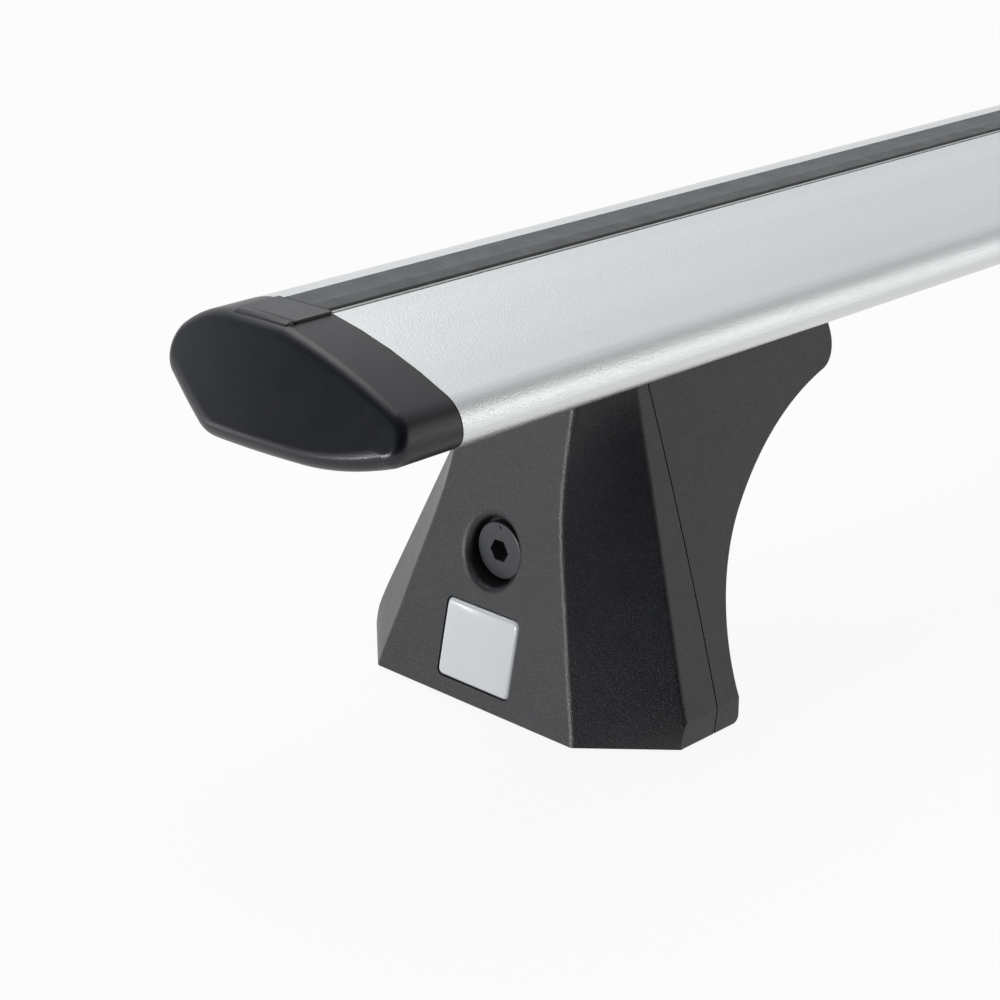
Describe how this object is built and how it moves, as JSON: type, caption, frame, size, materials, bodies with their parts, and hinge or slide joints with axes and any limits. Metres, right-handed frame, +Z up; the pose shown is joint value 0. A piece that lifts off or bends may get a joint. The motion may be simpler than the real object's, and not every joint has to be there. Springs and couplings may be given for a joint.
{
  "type": "roof rack crossbar",
  "caption": "Aluminium wing-profile roof rack crossbar with a T-slot and cover strip on top, plugged end caps and a clamped foot near each end.",
  "frame": {"origin": "on the roof under the pads, midway between the two feet", "axes": "+X along the bar, +Y forwards on the vehicle (the thick edge of the wing), +Z up"},
  "size_m": [1.2404, 0.1204, 0.125],
  "materials": {
    "bar_aluminium": "satin silver anodised",
    "strip_rubber": "matte dark grey extruded rubber",
    "cap_plastic": "fine-textured black plastic",
    "casing_plastic": "charcoal plastic with a spark-eroded grain",
    "badge_dome": "bare white plate under a clear glossy dome",
    "black_screw": "black coated steel",
    "bracket_steel": "black coated steel plate",
    "bright_steel": "zinc-plated steel",
    "pad_rubber": "matte black rubber"
  },
  "bodies": {
    "bar": {"bar_profile": "bar_aluminium", "top_strip": "strip_rubber"},
    "left_cap": {"left_end_cap": "cap_plastic"},
    "left_foot": {"left_rear_body": "casing_plastic", "left_bracket": "bracket_steel", "left_screw_nut": "bright_steel", "left_saddle_pad": "pad_rubber", "left_slot_nut": "bright_steel", "left_outer_slot_bolt": "bright_steel", "left_inner_slot_bolt": "bright_steel", "left_outer_slot_washer": "bright_steel", "left_inner_slot_washer": "bright_steel", "left_base_pad": "pad_rubber"},
    "left_cover": {"left_front_cover": "casing_plastic", "left_badge": "badge_dome"},
    "left_screw": {"left_cover_screw": "black_screw", "left_screw_clip": "bright_steel"},
    "right_cap": {"right_end_cap": "cap_plastic"},
    "right_foot": {"right_rear_body": "casing_plastic", "right_bracket": "bracket_steel", "right_screw_nut": "bright_steel", "right_saddle_pad": "pad_rubber", "right_slot_nut": "bright_steel", "right_outer_slot_bolt": "bright_steel", "right_inner_slot_bolt": "bright_steel", "right_outer_slot_washer": "bright_steel", "right_inner_slot_washer": "bright_steel", "right_base_pad": "pad_rubber"},
    "right_cover": {"right_front_cover": "casing_plastic", "right_badge": "badge_dome"},
    "right_screw": {"right_cover_screw": "black_screw", "right_screw_clip": "bright_steel"}
  },
  "joints": [
    {"name": "left_cap_pull", "type": "slide", "parent": "bar", "child": "left_cap", "axis": [-1, 0, 0], "range_m": [0, 0.022]},
    {"name": "left_foot_slide", "type": "slide", "parent": "bar", "child": "left_foot", "axis": [1, 0, 0], "range_m": [-0.04, 0.15]},
    {"name": "left_screw_turn", "type": "hinge", "parent": "left_cover", "child": "left_screw", "pos_m": [-0.529, 0.0009, 0.0439], "axis": [-1, 0, 0], "range_deg": [0, 2160]},
    {"name": "left_cover_draw", "type": "slide", "parent": "left_foot", "child": "left_cover", "axis": [-1, 0, 0], "range_m": [0, 0.0075]},
    {"name": "right_cap_pull", "type": "slide", "parent": "bar", "child": "right_cap", "axis": [1, 0, 0], "range_m": [0, 0.022]},
    {"name": "right_foot_slide", "type": "slide", "parent": "bar", "child": "right_foot", "axis": [-1, 0, 0], "range_m": [-0.04, 0.15]},
    {"name": "right_screw_turn", "type": "hinge", "parent": "right_cover", "child": "right_screw", "pos_m": [0.529, 0.0009, 0.0439], "axis": [1, 0, 0], "range_deg": [0, 2160]},
    {"name": "right_cover_draw", "type": "slide", "parent": "right_foot", "child": "right_cover", "axis": [1, 0, 0], "range_m": [0, 0.0075]}
  ],
  "couplings": [
    {"joint": "left_screw_turn", "follows": "left_cover_draw", "rad_per_m": 5026.5},
    {"joint": "right_screw_turn", "follows": "right_cover_draw", "rad_per_m": 5026.5}
  ]
}
